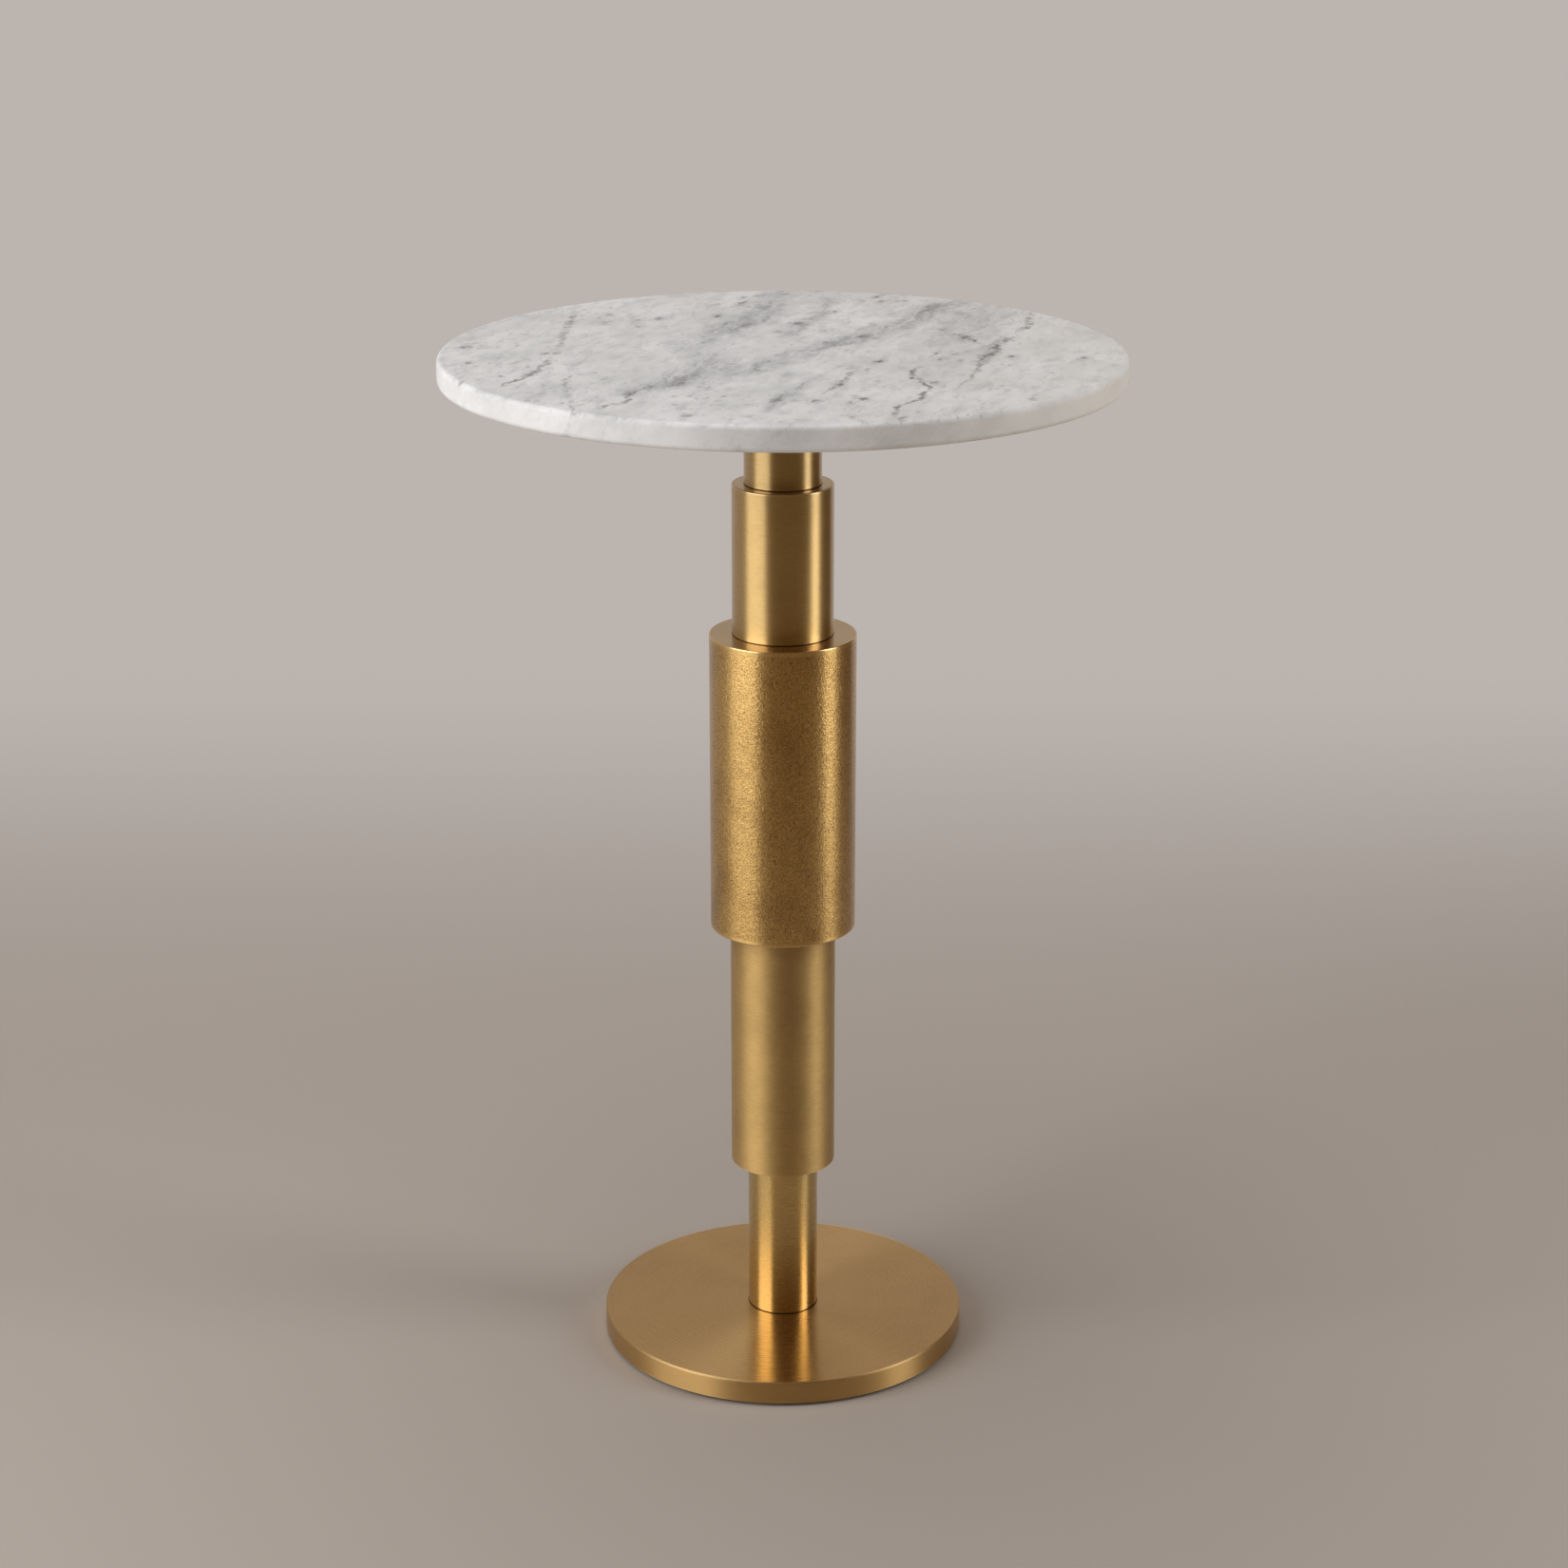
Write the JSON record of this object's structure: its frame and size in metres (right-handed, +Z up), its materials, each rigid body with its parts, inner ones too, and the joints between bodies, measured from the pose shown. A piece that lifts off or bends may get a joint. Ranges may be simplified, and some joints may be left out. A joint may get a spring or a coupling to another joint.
{
  "type": "wine table",
  "caption": "Small round pedestal table: veined marble disc on a stepped brass column with a hammered drum and a heavy round foot.",
  "frame": {"origin": "on the floor, in the middle of the foot, under the column's axis", "axes": "+Z up along the column's axis; the table is round, so X and Y are free, and the picture looks along +Y"},
  "size_m": [0.3999, 0.4, 0.624],
  "materials": {
    "marble": "honed white marble with grey veins",
    "brushed_brass": "aged brass, brushed round the tube",
    "hammered_brass": "aged brass with a fine hammered texture",
    "turned_brass": "aged brass, brushed in circles on a lathe",
    "insert_brass": "turned",
    "zinc_steel": "zinc plated",
    "black_steel": "black powder coat",
    "rubber": "matt sheet"
  },
  "bodies": {
    "root": {"marble_top": "marble", "marble_inserts": "insert_brass", "top_gasket": "rubber", "top_plate": "black_steel", "top_boss": "zinc_steel", "top_screw_washers": "zinc_steel", "top_screws": "zinc_steel", "neck_tube": "brushed_brass", "upper_sleeve_cap": "brushed_brass", "upper_sleeve_tube": "brushed_brass", "drum_top_cap": "brushed_brass", "drum_shell": "hammered_brass", "drum_bottom_cap": "brushed_brass", "lower_sleeve_tube": "brushed_brass", "lower_sleeve_cap": "brushed_brass", "stem_tube": "brushed_brass", "stem_foot_plug": "zinc_steel", "base_plate": "turned_brass", "base_glide": "rubber", "tie_rod": "zinc_steel", "rod_lock_nut": "zinc_steel", "base_washer": "zinc_steel", "base_lock_washer": "zinc_steel", "base_nut": "zinc_steel"}
  },
  "joints": []
}
